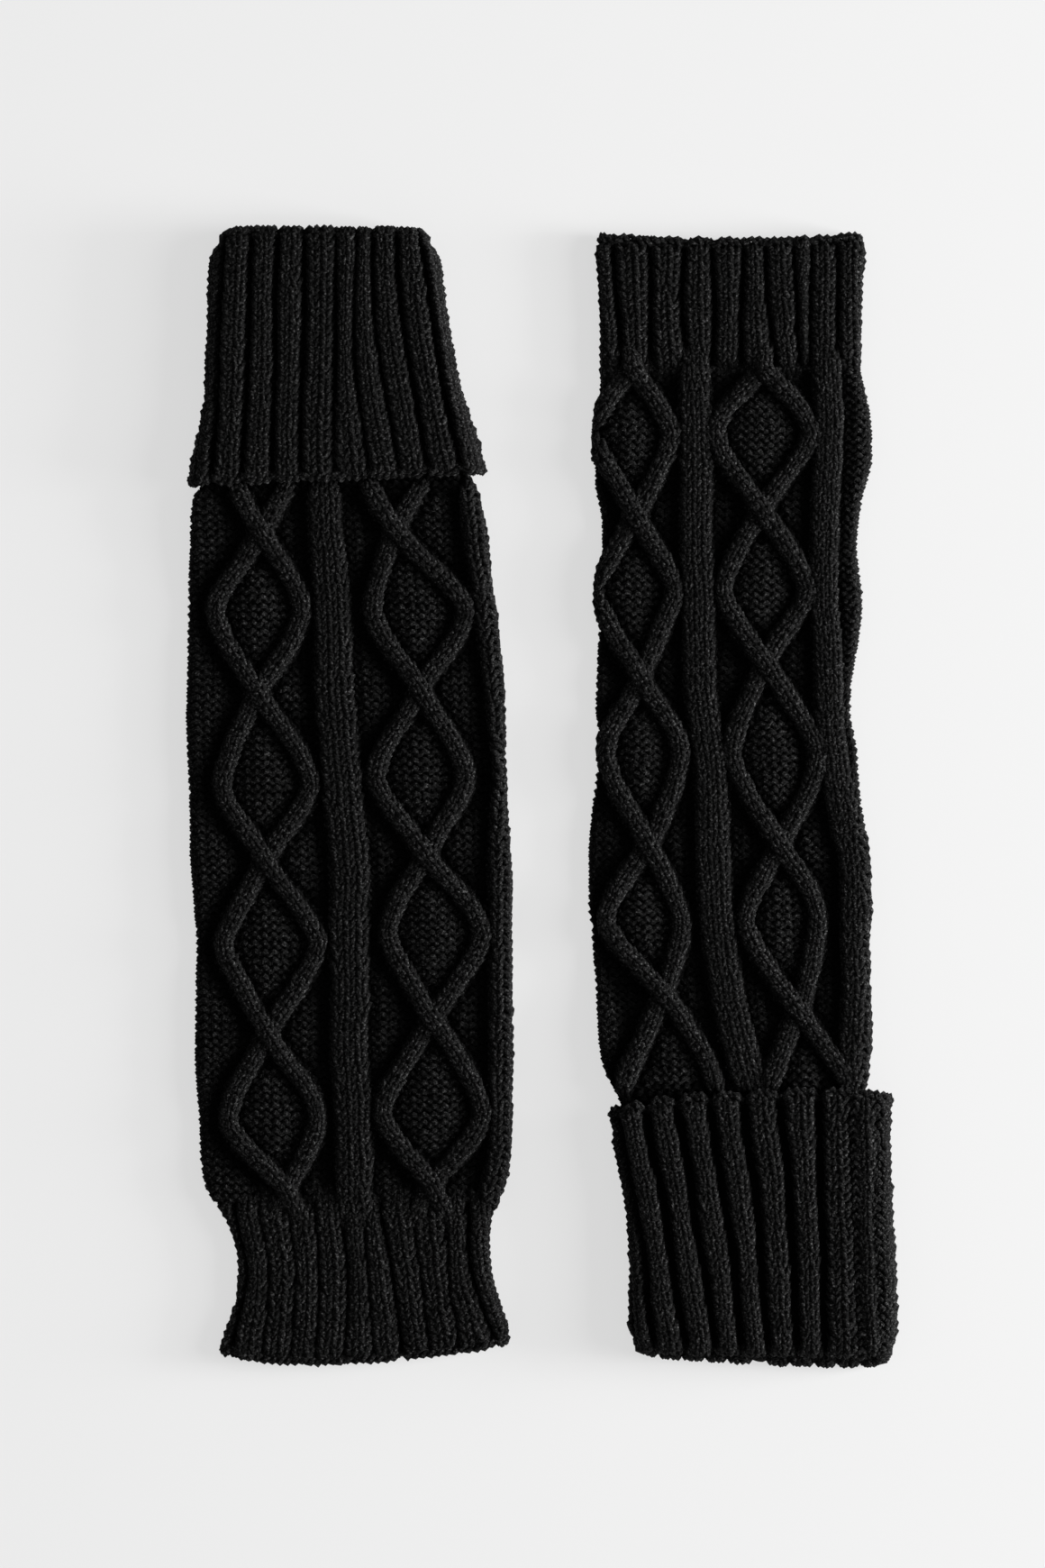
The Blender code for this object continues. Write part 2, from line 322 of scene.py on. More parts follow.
def smoothLine(y, x, sample, straight=0.0):
    # A curve through given points, with Catmull-Rom slopes made level where the line turns back,
    # and a share of the straight run between them
    order = np.argsort(y)
    y, x = np.asarray(y, float)[order], np.asarray(x, float)[order]
    steps = np.diff(x) / np.diff(y)
    slope = np.empty(len(y))
    slope[1:-1] = np.where(steps[1:] * steps[:-1] > 0.0, (x[2:] - x[:-2]) / (y[2:] - y[:-2]), 0.0)
    slope[0], slope[-1] = steps[0], steps[-1]
    i = np.clip(np.searchsorted(y, sample) - 1, 0, len(y) - 2)
    gap = y[i + 1] - y[i]
    t = np.clip((sample - y[i]) / gap, 0.0, 1.0)
    curve = ((2 * t ** 3 - 3 * t ** 2 + 1) * x[i] + (t ** 3 - 2 * t ** 2 + t) * gap * slope[i]
             + (3 * t ** 2 - 2 * t ** 3) * x[i + 1] + (t ** 3 - t ** 2) * gap * slope[i + 1])
    return curve + straight * (x[i] + (x[i + 1] - x[i]) * t - curve)


def ribbon(chart, line, halfWidth, wales, course, radius, heightAt, seed, face=1.0):
    # Courses of knit stitches square to a line. line is (s, v) points a short step apart. Each course
    # is one tube that makes a loop for each wale: its legs lean outwards going up and lie in front,
    # their lower ends over the course below. The yarn's ends dive into the cloth. face -1 is purl
    s, v = line
    step = np.hypot(np.diff(s), np.diff(v))
    length = np.concatenate([[0.0], np.cumsum(step)])
    count = int(length[-1] / course)
    random = np.random.default_rng(seed)
    per = knitStitch["samples"]
    t = np.arange(1, wales * per) / per
    across = t + knitStitch["spread"] * np.sin(4.0 * pi * t)
    loop = -0.5 * knitStitch["loop"] * course * np.cos(2.0 * pi * t)
    front = -knitStitch["depth"] * np.cos(4.0 * pi * t) + knitStitch["shingle"] * np.cos(2.0 * pi * t)
    front = front * face
    across = np.concatenate([[across[0]], across, [across[-1]]])
    loop = np.concatenate([[loop[0]], loop, [loop[-1]]])
    front = np.concatenate([[front[0] - knitStitch["dive"]], front, [front[-1] - knitStitch["dive"]]])
    reach = across.max() - across.min()
    across = (across - wales / 2.0) / reach * 2.0
    at = (np.arange(count) + 0.5) * course + random.normal(0.0, knitStitch["courseUneven"] * course, count)
    tall = 1.0 + random.normal(0.0, knitStitch["loopUneven"], (count, 1))
    where = np.clip(at[:, None] + loop[None, :] * tall, 0.0, length[-1])
    lineS = np.interp(where, length, s)
    lineV = np.interp(where, length, v)
    tangentS = np.interp(where, length, np.gradient(s, length))
    tangentV = np.interp(where, length, np.gradient(v, length))
    size = np.hypot(tangentS, tangentV)
    half = np.interp(where, length, halfWidth)
    wide = 1.0 + random.normal(0.0, knitStitch["widthUneven"], (count, 1))
    a = across[None, :] * np.maximum(half - radius, knitStitch["narrowest"]) * wide
    for spread, shape in zip(knitStitch["aside"], ((count, 1), where.shape)):
        a = a + random.normal(0.0, spread, shape)
    newS = lineS + a * tangentV / size
    newV = lineV - a * tangentS / size
    base = heightAt(a / half, newS, newV)
    height = sideLimit(chart, newS, newV, base) + front[None, :]
    for spread, shape in zip(knitStitch["proud"], ((count, 1), where.shape)):
        height = height + random.normal(0.0, spread, shape)
    run = np.repeat(np.arange(count), len(across))
    thick = radius * (1.0 + random.normal(0.0, knitStitch["thickUneven"], where.shape))
    thick = thick * np.clip(half / np.mean(half), 0.75, 1.15)     # a squeezed band has thinner yarn
    # painted shade: the yarn's colour is darker where it dives and where its band lies low, as in gutters and
    # under a cuff
    stands = np.clip((front - front[1:-1].min()) / np.ptp(front[1:-1]), 0.0, 1.0)
    lift = (knitStitch["dim"] + (1.0 - knitStitch["dim"]) * stands)[None, :] * lightAt(base)
    return newS.ravel(), newV.ravel(), height.ravel(), thick.ravel(), lift.ravel(), run


def purlGround(chart, vRange, sLimits, heightAt, hidden, seed):
    # Courses of purl stitches straight across. The same loops as knit ones, with their heads and feet in
    # front. Each tube breaks off where a cable or a knit column lies over it
    low, high = vRange
    random = np.random.default_rng(seed)
    course, wale, per, dim = (purlStitch[key] for key in ("course", "wale", "samples", "dim"))
    rows = np.arange(low + course / 2.0, high - course / 3.0, course)
    reach = sLimits[1] - sLimits[0]
    t = np.arange(int(reach / wale * per) + 1) / per
    across = wale * (t + purlStitch["spread"] * np.sin(4.0 * pi * t)) + sLimits[0]
    loop = -0.5 * purlStitch["loop"] * course * np.cos(2.0 * pi * t)
    front = purlStitch["depth"] * np.cos(4.0 * pi * t) - purlStitch["shingle"] * np.cos(2.0 * pi * t)
    s = np.broadcast_to(across[None, :], (len(rows), len(t)))
    base = rows[:, None] + np.zeros_like(s)
    drift = purlStitch["drift"] * wobble(s, base, purlStitch["driftLength"], seed)
    v = base + drift + loop[None, :] * (1.0 + random.normal(0.0, purlStitch["loopUneven"], (len(rows), 1)))
    s = s + purlStitch["sway"] * wobble(s, base, purlStitch["swayLength"], seed + 1)
    s = s + random.normal(0.0, purlStitch["aside"], s.shape)
    v = v + random.normal(0.0, purlStitch["aside"], s.shape)
    stands = heightAt(s, v)
    flatter = 1.0 - 0.5 * sideShare(chart, s, v)       # stitches are half as deep where the edge rolls under
    height = sideLimit(chart, s, v, stands) + front[None, :] * flatter
    height = height + random.normal(0.0, purlStitch["proud"], s.shape) * flatter
    # painted shade: the ground's yarn is darker on its legs behind the heads and in the dips beside the bands
    lift = (dim + (1.0 - dim) * (front - front.min()) / np.ptp(front)) * lightAt(stands)
    radius = purlStitch["radius"] * (1.0 + random.normal(0.0, purlStitch["thickUneven"], s.shape))
    keep = ~hidden(s, base + drift) & (v > low) & (v < high)
    keep[:, 1:-1] &= keep[:, :-2] | keep[:, 2:]
    fresh = keep.copy()
    fresh[:, 1:] &= ~keep[:, :-1]
    run = np.cumsum(fresh.ravel()).reshape(s.shape)
    sizes = np.bincount(run[keep], minlength=run.max() + 1)
    keep &= sizes[run] >= purlStitch["shortest"]
    run = np.unique(run[keep], return_inverse=True)[1].ravel()
    return s[keep], v[keep], height[keep], radius[keep], lift[keep], run


def dome(d, flatness):
    # 1 in the middle of a raised band, falling to 0 at its sides; flatter on top for a higher flatness
    return np.sqrt(np.clip(1.0 - np.clip(np.abs(d), 0.0, 1.0) ** flatness, 0.0, 1.0))


straightLie = (0.0, 0.0, 2.0, 0.0, 0.0)
sharpCorners = ((0.0, 1.0), (0.0, 1.0))
noStrays = ((0.0, 0.0, 0.0),)

# The legs. flat is the whole cut in metres: the way round both faces and both rolled edges, by the length.
# onto is how far the bands run past each end, and hem (y, way) is the cuff's edge that the leg passes under.
# A hollow is a dip round a line: (x, y, x, y, width, depth).
# A chain is two cables that cross and part again. Its table has a row for each crossing and the pair of
# turning points below it: (crossing y, crossing x, turn y, left turn x, right turn x).
# A column is a band of plain knit stitches: (y, x of its middle, width) from top to bottom.
leftLeg = {
    "seed": 100, "slot": "cable_knit", "flat": (0.238, 0.263),
    "radius": cloth["tube"], "margins": (0.6, 0.6), "ends": ("seam", "own"), "fold": -1,
    "lies": (straightLie, straightLie), "corners": sharpCorners, "edges": (0.7, 2.2),
    "strays": ((-142.0, -1.6, 0.6), (-127.0, -1.4, 0.5), (-112.0, -0.4, 0.3), (-62.0, 0.9, 0.2),
               (-48.0, 0.7, -0.2), (-35.0, -0.5, 0.0), (-20.0, -1.0, -0.2), (-4.0, 0.3, -1.0),
               (14.0, 0.8, -1.2), (30.0, 0.8, -0.4), (66.0, 1.1, -0.5), (76.0, 0.8, -1.0),
               (90.0, 1.0, 0.3), (108.0, 0.3, 0.6)),
    "onto": (9.0, 1.0),
    "hem": (112.4, 1.0),
    "hollows": [(-84.5, 92.0, -81.0, 58.0, 4.0, 1.2), (-77.0, -60.0, -77.0, -132.0, 3.0, 1.2)],
    "chains": [
        [(151.0, -98.5, 124.0, -113.0, -86.0), (94.1, -99.2, 66.0, -115.5, -84.5),
         (37.1, -100.5, 5.6, -113.6, -81.6), (-22.4, -97.9, -51.5, -112.6, -79.4),
         (-83.5, -97.0, -114.0, -111.0, -79.0), (-139.2, -90.9, -165.0, -104.0, -80.0)],
        [(151.0, -51.0, 124.0, -66.0, -37.0), (95.0, -51.8, 66.0, -60.2, -26.9),
         (38.4, -42.9, 7.5, -58.9, -26.9), (-20.2, -41.3, -48.0, -54.4, -20.8),
         (-78.4, -38.7, -111.7, -56.6, -20.5), (-137.0, -39.0, -165.0, -54.0, -25.0)],
    ],
    "columns": [
        [(125.0, -77.6, 12.0), (104.0, -76.8, 12.5), (64.3, -74.4, 13.6), (28.8, -73.0, 14.6),
         (-33.3, -68.0, 14.4), (-78.4, -68.0, 14.0), (-123.8, -66.6, 13.8), (-146.0, -66.2, 13.6)],
    ],
    "edgeColumns": [       # a column that stops at the seam
        [(125.0, -24.6, 14.0), (104.0, -22.5, 14.0), (40.0, -14.3, 14.0), (-10.0, -12.3, 14.0),
         (-123.8, -12.2, 14.0), (-138.0, -15.0, 14.0), (-146.0, -17.0, 14.0)],
    ],
}
rightLeg = {
    "seed": 200, "slot": "cable_knit", "flat": (0.213, 0.268),
    "radius": cloth["tube"], "margins": (0.6, 0.6), "ends": ("own", "seam"), "fold": -1,
    "lies": (straightLie, straightLie), "corners": sharpCorners, "edges": (1.4, 1.4),
    "strays": ((-108.0, -1.6, -1.0), (-97.0, -1.2, -0.9), (-84.0, -0.4, -0.3), (-64.0, -0.3, -1.5),
               (-50.0, -0.3, -1.7), (-38.0, -0.4, -0.3), (-20.0, -0.3, -0.9), (-2.0, -0.6, -1.3),
               (8.0, -0.8, 0.0), (18.0, 0.2, 1.3), (28.0, -0.8, 0.0), (60.0, 0.2, 0.0),
               (118.0, 0.2, 0.3), (131.0, 1.4, 0.3), (143.0, 0.9, -0.3)),
    "onto": (1.0, 9.0),
    "hem": (-104.6, -1.0),
    "hollows": [(25.0, -60.0, 39.5, -94.0, 6.0, 2.0), (19.5, -6.0, 21.5, -30.0, 3.5, 1.0)],
    "chains": [
        [(152.4, 31.4, 129.6, 17.9, 45.8), (99.8, 33.3, 72.6, 19.2, 46.7), (43.2, 34.9, 15.0, 22.4, 49.6),
         (-16.6, 37.8, -44.0, 22.4, 49.6), (-69.4, 43.5, -104.0, 29.0, 62.0),
         (-135.0, 48.0, -165.0, 30.0, 60.0)],
        [(152.2, 78.7, 129.6, 61.1, 95.4), (102.1, 77.8, 73.5, 64.0, 94.1), (47.7, 78.7, 14.4, 67.2, 97.9),
         (-16.6, 84.5, -43.0, 71.7, 97.9), (-75.5, 90.6, -106.0, 79.5, 110.0),
         (-140.0, 92.0, -165.0, 80.0, 104.0)],
    ],
    "columns": [
        [(152.0, 54.2, 11.0), (136.0, 54.4, 12.0), (88.0, 55.0, 12.0), (40.6, 56.0, 12.0), (12.2, 59.5, 12.4),
         (-33.3, 61.4, 12.6), (-63.4, 64.3, 12.6), (-93.4, 71.7, 12.6), (-118.0, 77.0, 12.6)],
        [(152.0, 101.0, 10.6), (136.0, 101.9, 10.8), (88.0, 100.0, 10.6), (59.2, 100.6, 10.4),
         (30.0, 102.0, 10.6), (11.2, 103.6, 11.0), (-8.0, 107.6, 11.6), (-22.0, 110.6, 12.0),
         (-60.0, 111.8, 12.0), (-100.8, 110.9, 12.0), (-118.0, 110.5, 12.0)],
    ],
    "edgeColumns": [],
}
# A band is a dome on its base: it rises so far, over crown half widths, flatter for a higher flatness.
# Uneven values are (height of the swell, its length, its place in the seeds)
cable = {
    "half": 3.7, "wales": 2, "course": 3.0, "radius": 1.02,
    "base": -1.3, "rise": 3.4, "crown": 1.22, "flatness": 2.0,
    "over": 1.0, "under": -1.9, "crossing": 5.5,       # how far it is lifted or pressed at a crossing
    "wander": (0.8, 26.0, 40), "widen": (0.1, 19.0, 41), "swell": (0.25, 40.0, 9),
}
column = {
    "wales": 3, "course": 3.05, "radius": 1.12,
    "base": -1.3, "rise": 3.0, "crown": 1.12, "flatness": 3.0,
    "wander": (0.5, 30.0, 42), "swell": (0.3, 50.0, 8),
}
ground = {
    "height": -0.25, "deepest": -2.2, "pillow": (0.5, 30.0, 5),
    "valley": 1.2, "valleyWidth": 2.2,            # the dip on the right of a band
    "shade": 2.4, "shadeWidth": 5.2,              # and on its left
    "diamond": 1.9, "diamondWidth": 18.0,         # how far the cloth stands up inside a diamond of cables
    "skirt": 0.8, "lap": 0.6, "covered": 0.5,     # how far bands, dips and yarn reach past a band's side
    "hollowLength": 6.0, "reach": 2.4,
    "seamSlope": 0.28, "seamStart": 2.0,          # how steeply bands sink past a seam
    "tuckSlope": 0.8, "tuckStart": 5.5, "tuckLength": 6.0,     # and everything under a cuff
}
apart = 50.0       # sets each band's unevenness apart from its neighbour's


def chainLines(chart, table, v):
    # The two cables of a chain, as s at each v, with the places where each passes over or under.
    # At each crossing the cable that comes from the upper left goes on to the lower right, on top
    lines = []
    for start in (0, 1):
        ys, xs, marks = [], [], []
        for i, (crossY, crossX, turnY, leftX, rightX) in enumerate(table):
            goesRight = (i + start) % 2 == 0
            ys += [crossY, turnY]
            xs += [crossX, rightX if goesRight else leftX]
            marks.append((crossY, cable["over"] if goesRight else cable["under"]))
        x = smoothLine(ys, xs, v, 0.3)
        lines.append((acrossAt(chart, x, v), marks))
    return lines


def crossingHeight(marks, v):
    # How far a cable is lifted or pressed down at its crossings: a bell round each
    total = np.zeros_like(v)
    for y, lift in marks:
        total += lift * np.exp(-((v - y) / cable["crossing"]) ** 2)
    return total


def pressUnder(chart, s, at, flat, total):
    # The underside lies on the floor, so past the rolled edge what stands proud is pressed in
    under = np.clip((np.abs(s) - flat) / chart["radius"] / pi * 2.0 - 1.0, 0.0, 1.0)
    under = under * (1.0 - lipShare(chart, at))
    return total * (1.0 - under) + under * np.minimum(total - cloth["pressed"], 0.0)


def uneven(kind, part, a, b, seed):
    # The named unevenness of a cable, a column or the ground: its size times a slow wobble
    size, length, draw = kind[part]
    return size * wobble(a, b, length, seed + draw)


def plainProfile(chart, turns, step, rows, plain=-np.inf):
    # Out along the face, round one hem, back inside the tube and round the other, as (v, depth, relief
    # share). plain is how far in from each end the face has no relief
    low, high = chart["starts"]
    turnLow, turnHigh = chart["mouths"]
    outer = np.concatenate([low + np.linspace(-pi, 0.0, turns)[:-1] * turnLow, np.arange(low, high, step),
                            high + np.linspace(0.0, pi, turns) * turnHigh])
    inner = np.linspace(high, low, rows)[1:-1]
    shares = (outer > low + plain) & (outer < high - plain)
    rows = [(at, 0.0, float(share)) for at, share in zip(outer, shares)]
    return rows + [(at, cloth["wall"], 0.0) for at in inner]


def buildLeg(name, chart, leg):
    # Cables and columns are bands: a line along the leg with a half width, and a dome over it. The ground
    # dips beside them, and both the wall and the yarn follow the same heights
    low, high = chart["ends"]
    seed = leg["seed"]
    v = np.arange(low - leg["onto"][0], high + leg["onto"][1], 1.0)
    bands = []         # each is (s at v, half width at v, crossings or None)
    for table in leg["chains"]:
        for line, marks in chainLines(chart, table, v):
            line = line + uneven(cable, "wander", v, apart * len(bands), seed)
            half = cable["half"] * (1.0 + uneven(cable, "widen", v, apart * len(bands), seed))
            bands.append((line, half, marks))
    for table in leg["columns"] + leg["edgeColumns"]:
        y, x, width = np.array(table).T
        middle = acrossAt(chart, smoothLine(y, x, v), v)
        if table in leg["columns"]:
            middle = middle + uneven(column, "wander", v, apart * len(bands), seed)
        bands.append((middle, np.interp(-v, -y, width) / 2.0, None))
    stopping = len(bands) - len(leg["edgeColumns"])        # the bands from here on stop at the seam

    def runOut(at):
        # Bands that run on over a seam sink into the ribs there, and everything sinks in under the cuff
        hem, way = leg["hem"]
        pastSeam = np.maximum(np.maximum(low - at, at - high) + ground["seamStart"], 0.0)
        pastHem = np.clip((at - hem) * way + ground["tuckStart"], 0.0, ground["tuckLength"])
        # the sinking also lowers lightAt, so the cloth and yarn here are painted darker as shade
        return ground["seamSlope"] * pastSeam + ground["tuckSlope"] * pastHem

    def nearness(s, at):
        # For every band, how far a point is from its middle, measured square to it, the band's half width,
        # its crossings and whether the point is on its left
        found = []
        for line, half, marks in bands:
            slope = np.interp(at, v, np.gradient(line, v))
            offset = (s - np.interp(at, v, line)) / np.hypot(1.0, slope)
            found.append((np.abs(offset), np.interp(at, v, half), marks, offset < 0.0))
        return found

    def groundHeight(s, at):
        # Low beside the bands and a little higher between them: a bell for each hollow and for each side of
        # a band, and a parabola across each diamond
        total = ground["height"] + uneven(ground, "pillow", s, at, seed)
        for x0, y0, x1, y1, width, deep in leg["hollows"]:
            start, run = acrossAt(chart, x0, y0), acrossAt(chart, x1, y1) - acrossAt(chart, x0, y0)
            share = np.clip((at - y0) / (y1 - y0), 0.0, 1.0)
            past = (at - y0 - (y1 - y0) * share) / ground["hollowLength"]
            off = np.hypot((s - start - run * share) / width, past)
            total = total - deep * np.exp(-off ** 2)
        for first, second in ((bands[0][0], bands[1][0]), (bands[2][0], bands[3][0])):
            left = np.interp(at, v, np.minimum(first, second))
            right = np.interp(at, v, np.maximum(first, second))
            share = np.clip((s - left) / np.maximum(right - left, 1.0), 0.0, 1.0)
            arch = ground["diamond"] * 4.0 * share * (1.0 - share)
            total = total + arch * np.clip((right - left) / ground["diamondWidth"], 0.0, 1.0)
        for distance, half, marks, onLeft in nearness(s, at):
            valley = np.where(onLeft, ground["shade"], ground["valley"])
            width = np.where(onLeft, ground["shadeWidth"], ground["valleyWidth"])
            total = total - valley * np.exp(-(np.maximum(distance - half - ground["lap"], 0.0) / width) ** 2)
        return np.maximum(total - runOut(at), ground["deepest"])

    def relief(s, at):
        # The highest of the ground and the bands' domes
        total = groundHeight(s, at)
        for distance, half, marks, onLeft in nearness(s, at):
            kind = cable if marks else column
            skirt = half + ground["skirt"]
            top = kind["base"] + kind["rise"] * dome(distance / skirt, kind["flatness"]) - runOut(at)
            total = np.where(distance < skirt, np.maximum(total, top), total)
        middle, half, flat = widthAt(chart, at)
        return pressUnder(chart, s, at, flat, total)

    def hidden(s, at):
        # Where a band covers the ground, and on the underside
        covered = np.zeros(s.shape, bool)
        for distance, half, marks, onLeft in nearness(s, at):
            covered |= distance < half - ground["covered"]
        middle, half, flat = widthAt(chart, at)
        return covered | (np.abs(s) > flat + chart["radius"] * ground["reach"])

    wall = clothWall(name + "_cloth", chart, relief, plainProfile(chart, 5, 2.2, 26, 0.5), 180)

    parts = []
    yarnChart = dict(chart, starts=(low - 14.0, high + 14.0))     # the yarn runs straight on over the seams
    for index, (line, half, marks) in enumerate(bands):
        kind = cable if marks else column
        kept = slice(None) if index < stopping else (v > low - 0.5) & (v < high + 0.5)

        def heightAt(a, s, at, kind=kind, marks=marks or ()):
            # the band's dome, lifted or pressed at its crossings, a little uneven and run out at the ends
            arch = kind["base"] + kind["rise"] * dome(a / kind["crown"], kind["flatness"])
            return arch + crossingHeight(marks, at) + uneven(kind, "swell", s, at, seed) - runOut(at)

        parts.append(ribbon(yarnChart, (line[kept], v[kept]), half[kept], kind["wales"], kind["course"],
                            kind["radius"], heightAt, seed + index))
    cables = yarnTubes(name + "_cables", yarnChart, joinRows(parts), knitStitch["sides"])
    middle, half, flat = widthAt(chart, v)
    limit = (flat + chart["radius"] * ground["reach"]).max()
    rows = purlGround(yarnChart, (low - 1.0, high + 1.0), (-limit, limit), groundHeight, hidden, seed + 20)
    purls = yarnTubes(name + "_ground", yarnChart, rows, purlStitch["sides"])
    return wall, [cables, purls]


# The ribbed stretches. A gutter is a groove between two ribs: its x at each of the three levels, then its
# depth share there. gutter is a groove's half width, flank how far all of them are moved to the left,
# pitch the distance between those on the hidden sides, made how far past each start the yarn is laid, fold
# the end that is a cuff's fold, and open (gutter, width) where a groove is stretched open
leftCuff = {
    "seed": 500, "slot": "rib_knit", "flat": (0.205, 0.175),
    "radius": cloth["cuff"], "margins": (6.0, 2.0), "ends": (112.4, 199.7), "fold": 1,
    "lies": ((4.0, 0.0, 2.0, 0.0, 0.0), (0.0, 2.6, 8.0, 0.0, 0.0)), "corners": ((0.0, 1.0), (3.0, 9.0)),
    "edges": (2.0, 2.2), "strays": noStrays, "made": (3.0, 8.0),
    "levels": (197.4, 155.2, 113.6),
    "gutters": [
        (-112.6, -114.2, -116.8, 1.0, 1.0, 1.0),
        (-102.7, -103.7, -106.2, 1.0, 1.0, 1.0),
        (-93.1, -94.4, -95.0, 1.0, 1.0, 1.0),
        (-83.5, -84.5, -85.1, 1.0, 1.0, 1.0),
        (-72.3, -73.0, -73.0, 0.45, 1.0, 0.3),
        (-65.9, -65.9, -60.8, 0.3, 0.6, 0.9),
        (-60.2, -57.6, -49.9, 0.8, 0.8, 0.8),
        (-51.8, -47.4, -39.7, 1.0, 1.0, 1.0),
        (-42.9, -36.8, -28.2, 1.0, 1.0, 1.0),
    ],
    "gutter": 1.1, "flank": 0.2, "course": 2.55, "pitch": 9.8, "seams": (False, False), "open": [],
}
rightCuff = {
    "seed": 600, "slot": "rib_knit", "flat": (0.206, 0.184),
    "radius": cloth["cuff"], "margins": (7.0, 8.0), "ends": (-195.2, -108.0), "fold": 0,
    "lies": ((-1.5, 2.6, 7.0, 4.4, 0.0), (4.8, 4.3, 4.0, 0.0, 0.0)), "corners": ((1.6, 9.0), (0.0, 1.0)),
    "edges": (2.0, 2.2), "strays": noStrays, "made": (8.0, 3.0),
    "levels": (-110.4, -150.4, -192.0),
    "gutters": [
        (27.2, 34.9, 40.6, 1.6, 1.5, 1.5),
        (37.4, 44.8, 51.5, 1.9, 1.5, 1.3),
        (48.6, 55.8, 62.4, 1.9, 1.5, 1.3),
        (59.8, 66.6, 71.7, 1.9, 1.5, 1.3),
        (72.3, 77.4, 81.0, 1.9, 1.5, 1.3),
        (84.8, 89.1, 90.9, 1.9, 1.5, 1.3),
        (98.6, 100.2, 101.1, 1.9, 1.5, 1.3),
        (111.2, 112.0, 114.2, 0.6, 0.6, 0.7),
        (119.4, 119.6, 121.2, 0.5, 0.5, 0.6),
    ],
    "gutter": 1.5, "flank": 1.1, "course": 2.75, "pitch": 8.2, "seams": (False, False),
    "open": [(7, 4.0), (8, 3.4)],
}
leftEnd = {
    "seed": 300, "slot": "rib_knit", "flat": (0.198, 0.056),
    "radius": cloth["tube"], "margins": (8.0, 0.6), "ends": (-195.3, "seam"), "fold": -1,
    "lies": ((3.6, 4.6, 2.5, 0.0, 0.3), straightLie), "corners": sharpCorners,
    "edges": (1.6, 1.6), "strays": noStrays, "made": (3.0, 0.0),
    "levels": (-147.2, -168.0, -192.0),
    "gutters": [
        (-108.2, -103.7, -109.1, 1.0, 1.0, 1.0),
        (-99.2, -95.7, -97.9, 0.2, 0.12, 0.2),
        (-88.6, -86.1, -88.3, 0.25, 0.2, 0.25),
        (-79.7, -78.1, -79.0, 0.25, 0.3, 0.25),
        (-69.4, -67.8, -69.4, 0.7, 0.7, 0.5),
        (-62.4, -60.8, -58.9, 0.2, 0.12, 0.12),
        (-55.7, -52.5, -48.6, 0.8, 0.9, 1.0),
        (-45.1, -42.2, -38.7, 0.4, 0.2, 0.25),
        (-33.6, -32.6, -28.5, 0.25, 0.2, 0.2),
        (-25.6, -24.3, -16.3, 1.0, 0.8, 0.7),
    ],
    "gutter": 1.2, "flank": 0.9, "course": 2.75, "pitch": 9.5, "seams": (False, True), "open": [],
}
rightEnd = {
    "seed": 400, "slot": "rib_knit", "flat": (0.199, 0.048),
    "radius": cloth["tube"], "margins": (0.6, 6.0), "ends": ("seam", 199.7), "fold": -1,
    "lies": (straightLie, (0.2, -1.7, 2.0, 0.0, 0.0)), "corners": ((0.0, 1.0), (1.6, 4.0)),
    "edges": (2.0, 1.8), "strays": noStrays, "made": (0.0, 3.0),
    "levels": (195.2, 174.4, 155.2),
    "gutters": [
        (26.2, 27.5, 29.1, 0.8, 0.9, 1.0),
        (39.0, 39.0, 39.7, 0.8, 0.9, 0.8),
        (50.9, 50.7, 52.2, 0.9, 1.0, 1.0),
        (61.6, 61.4, 61.1, 0.9, 0.9, 0.9),
        (71.5, 71.5, 71.7, 0.7, 0.9, 1.0),
        (80.0, 81.1, 82.6, 0.7, 0.8, 0.8),
        (89.9, 90.9, 92.2, 0.8, 0.8, 0.9),
        (96.3, 96.0, 95.7, 0.6, 0.7, 0.6),
        (105.3, 105.4, 105.6, 0.5, 0.6, 0.6),
    ],
    "gutter": 1.3, "flank": 0.9, "course": 2.75, "pitch": 10.5, "seams": (True, False), "open": [],
}
rib = {
    "top": 0.9, "gutter": 3.6, "columns": 230,    # height of a rib, full depth of a gutter, points round
    "atHem": 0.85,                                # the share of a gutter's depth that is lost at a hem
    "wander": 0.6, "wanderLength": 34.0, "uneven": 0.25, "unevenLength": 24.0,
    "radius": 1.12, "grooveHalf": 1.35, "snug": 1.6, "widestGroove": 2.6, "narrowest": 1.2, "closing": 0.3,
    "overrun": 9.0, "sink": 2.2, "sinkStart": 7.0, "seamRun": 16.0,      # how ribs run out over a seam
    "bedded": 0.6, "ripple": 0.12, "rippleLength": 20.0, "nearHem": 5.0, "reach": 2.5,
    "band": 0.5, "bandRadius": 0.95,              # purl stitches in a gutter that is stretched open
    "edge": 0.1, "edgeHalf": 1.75, "edgeCourse": 2.7, "edgeTurn": 1.35,  # the cast-on chain
    "scallop": 1.0, "scallopHalf": 2.4,
}
ringApart = 60.0       # sets each gutter's unevenness apart from its neighbour's


